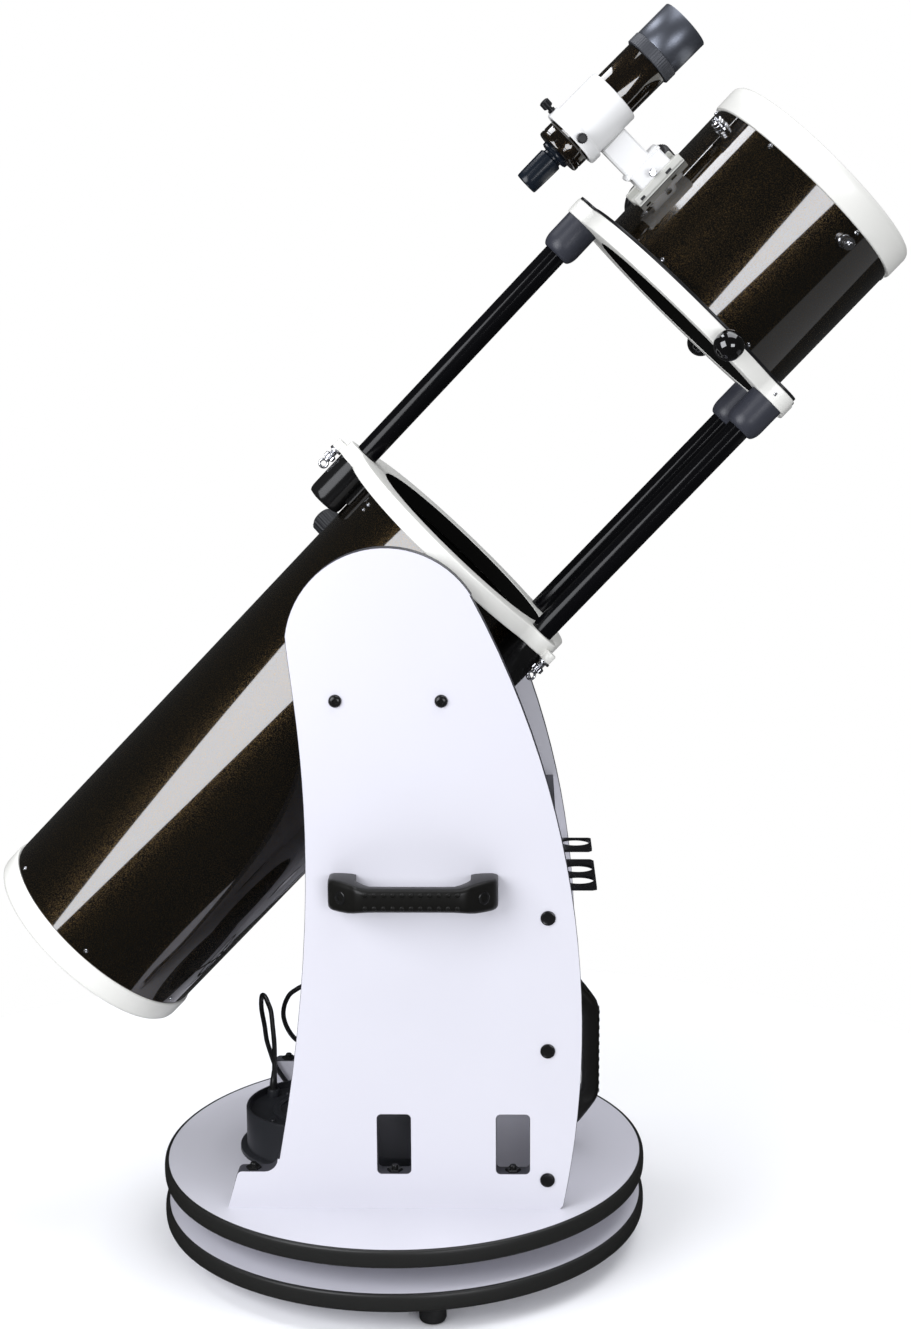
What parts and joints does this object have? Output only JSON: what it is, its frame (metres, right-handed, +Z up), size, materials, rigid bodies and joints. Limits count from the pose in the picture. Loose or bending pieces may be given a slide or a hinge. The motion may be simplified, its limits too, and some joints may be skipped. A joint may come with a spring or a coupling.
{
  "type": "dobsonian telescope",
  "caption": "Dobsonian reflector with a collapsible strut tube, finder and focuser, on a motor-driven round-base rocker mount.",
  "frame": {"origin": "where the azimuth axis meets the floor plane that the three feet stand on", "axes": "+Z up along the azimuth axis; +X the way the tube points; the altitude axis runs along Y; -Y is the side with the finder"},
  "size_m": [0.9437, 0.525, 1.288],
  "materials": {
    "laminate": "white laminate",
    "edge_trim": "satin",
    "foot_rubber": "matte",
    "bearing_plastic": "satin",
    "roller_plastic": "satin",
    "wheel_brass": "machined",
    "black_fastener": "satin",
    "grip_plastic": "satin",
    "rack_metal": "satin",
    "drive_plastic": "satin",
    "motor_steel": "brushed",
    "lead_rubber": "satin",
    "worm_steel": "turned",
    "tube_paint": "gloss metallic flake",
    "white_casting": "white enamel",
    "cell_metal": "satin black",
    "mirror_glass": "polished",
    "guide_plastic": "satin",
    "knob_grey": "matte",
    "cell_knob": "satin",
    "lock_chrome": "polished",
    "strut_black": "satin black",
    "cap_grey": "satin",
    "spider_black": "satin black",
    "ball_black": "gloss",
    "shoe_grey": "satin",
    "bracket_white": "white enamel",
    "finder_paint": "gloss",
    "eyepiece_black": "satin",
    "finder_grey": "anodised",
    "screw_black": "satin",
    "focuser_black": "satin",
    "drawtube_chrome": "polished"
  },
  "bodies": {
    "ground": {"ground_board": "laminate", "ground_edge_trim": "edge_trim", "ground_feet": "foot_rubber", "bearing_base": "bearing_plastic", "azimuth_worm_wheel": "wheel_brass"},
    "roller_cage": {"bearing_rollers": "roller_plastic"},
    "turntable": {"turntable_board": "laminate", "turntable_edge_trim": "edge_trim", "right_panel": "laminate", "left_panel": "laminate", "front_board": "laminate", "panel_fasteners": "black_fastener", "side_handles": "grip_plastic", "front_handle": "grip_plastic", "eyepiece_rack": "rack_metal", "azimuth_drive_housing": "drive_plastic", "altitude_bearing": "bearing_plastic", "altitude_drive_housing": "drive_plastic", "drive_motors": "motor_steel", "drive_lead": "lead_rubber"},
    "azimuth_worm_shaft": {"azimuth_worm": "worm_steel"},
    "altitude_worm_shaft": {"altitude_worm": "worm_steel"},
    "tube": {"lower_tube": "tube_paint", "rear_ring": "white_casting", "rear_cell_plate": "cell_metal", "mirror_cell": "cell_metal", "primary_mirror": "mirror_glass", "flange_ring": "white_casting", "strut_guides": "guide_plastic", "trunnions": "white_casting", "altitude_worm_wheel": "wheel_brass"},
    "tension_knob_body": {"tension_knob": "knob_grey"},
    "collimation_1": {"collimation_knob_1": "cell_knob"},
    "collimation_2": {"collimation_knob_2": "cell_knob"},
    "collimation_3": {"collimation_knob_3": "cell_knob"},
    "lock_1": {"strut_lock_1": "lock_chrome"},
    "lock_2": {"strut_lock_2": "lock_chrome"},
    "lock_3": {"strut_lock_3": "lock_chrome"},
    "cage": {"strut_top": "strut_black", "strut_right": "strut_black", "strut_left": "strut_black", "strut_caps": "cap_grey", "cage_ring": "white_casting", "cage_tube": "tube_paint", "front_ring": "white_casting", "spider": "spider_black", "secondary_mirror": "mirror_glass", "ball_knobs": "ball_black", "finder_shoe": "shoe_grey", "finder_bracket": "bracket_white", "finder_tube": "finder_paint", "finder_eyepiece": "eyepiece_black", "focuser_base": "focuser_black"},
    "finder_focus_cell": {"finder_objective": "finder_grey"},
    "finder_adjuster_top": {"finder_screw_top": "screw_black"},
    "finder_adjuster_side": {"finder_screw_side": "screw_black"},
    "drawtube": {"focuser_drawtube": "drawtube_chrome", "eyepiece_adapter": "focuser_black"},
    "focus_shaft": {"focus_knobs": "focuser_black"},
    "focus_lock": {"focus_lock_screw": "lock_chrome"}
  },
  "joints": [
    {"name": "azimuth", "type": "hinge", "parent": "ground", "child": "turntable", "pos_m": [0, 0, 0], "axis": [0, 0, 1], "continuous": true},
    {"name": "roller_orbit", "type": "hinge", "parent": "ground", "child": "roller_cage", "pos_m": [0, 0, 0], "axis": [0, 0, 1], "continuous": true},
    {"name": "azimuth_worm_turn", "type": "hinge", "parent": "turntable", "child": "azimuth_worm_shaft", "pos_m": [-0.0693, 0, 0.097], "axis": [0, 1, 0], "continuous": true},
    {"name": "altitude", "type": "hinge", "parent": "turntable", "child": "tube", "pos_m": [-0.0075, 0, 0.672], "axis": [0, -1, 0], "range_deg": [-46.2, 43.8]},
    {"name": "altitude_worm_turn", "type": "hinge", "parent": "turntable", "child": "altitude_worm_shaft", "pos_m": [-0.0075, 0.137, 0.6167], "axis": [1, 0, 0], "range_deg": [-2772, 2628]},
    {"name": "tension_knob_turn", "type": "hinge", "parent": "tube", "child": "tension_knob_body", "pos_m": [0.00703, 0, 0.68716], "axis": [-0.6487, 0.4384, 0.6221], "range_deg": [-180, 180]},
    {"name": "collimation_turn_1", "type": "hinge", "parent": "tube", "child": "collimation_1", "pos_m": [-0.35461, -0.06062, 0.36061], "axis": [0.6921, 0, 0.7218], "range_deg": [-180, 180]},
    {"name": "collimation_turn_2", "type": "hinge", "parent": "tube", "child": "collimation_2", "pos_m": [-0.27882, 0, 0.28793], "axis": [0.6921, 0, 0.7218], "range_deg": [-180, 180]},
    {"name": "collimation_turn_3", "type": "hinge", "parent": "tube", "child": "collimation_3", "pos_m": [-0.35461, 0.06062, 0.36061], "axis": [0.6921, 0, 0.7218], "range_deg": [-180, 180]},
    {"name": "strut_lock_turn_1", "type": "hinge", "parent": "tube", "child": "lock_1", "pos_m": [-0.06327, 0, 0.85295], "axis": [0.6921, 0, 0.7218], "range_deg": [-180, 180]},
    {"name": "strut_lock_turn_2", "type": "hinge", "parent": "tube", "child": "lock_2", "pos_m": [0.15207, -0.09867, 0.64644], "axis": [0.6921, 0, 0.7218], "range_deg": [-180, 180]},
    {"name": "strut_lock_turn_3", "type": "hinge", "parent": "tube", "child": "lock_3", "pos_m": [0.15207, 0.09867, 0.64644], "axis": [0.6921, 0, 0.7218], "range_deg": [-180, 180]},
    {"name": "cage_slide", "type": "slide", "parent": "tube", "child": "cage", "axis": [0.6921, 0, 0.7218], "range_m": [-0.28, 0]},
    {"name": "finder_focus_turn", "type": "hinge", "parent": "cage", "child": "finder_focus_cell", "pos_m": [0.25586, -0.04453, 1.23685], "axis": [0.7163, 0.0076, 0.6977], "range_deg": [-180, 180]},
    {"name": "finder_adjust_top", "type": "hinge", "parent": "cage", "child": "finder_adjuster_top", "pos_m": [0.18065, -0.04533, 1.16359], "axis": [-0.6801, -0.2163, 0.7005], "range_deg": [-180, 180]},
    {"name": "finder_adjust_side", "type": "hinge", "parent": "cage", "child": "finder_adjuster_side", "pos_m": [0.18065, -0.04533, 1.16359], "axis": [0.1562, -0.9763, -0.1498], "range_deg": [-180, 180]},
    {"name": "focus_knob_turn", "type": "hinge", "parent": "cage", "child": "focus_shaft", "pos_m": [0.30077, 0.12615, 1.12108], "axis": [0.5912, 0.5736, -0.567], "range_deg": [-190, 475]},
    {"name": "focus_slide", "type": "slide", "parent": "cage", "child": "drawtube", "axis": [-0.414, 0.8192, 0.397], "range_m": [-0.01, 0.025]},
    {"name": "focus_lock_turn", "type": "hinge", "parent": "cage", "child": "focus_lock", "pos_m": [0.24713, 0.12615, 1.06515], "axis": [0.6921, 0, 0.7218], "range_deg": [-180, 180]}
  ],
  "couplings": [
    {"joint": "roller_orbit", "follows": "azimuth", "ratio": 0.5},
    {"joint": "azimuth_worm_turn", "follows": "azimuth", "ratio": 72},
    {"joint": "altitude_worm_turn", "follows": "altitude", "ratio": 60},
    {"joint": "focus_slide", "follows": "focus_knob_turn", "m_per_rad": 0.003}
  ]
}
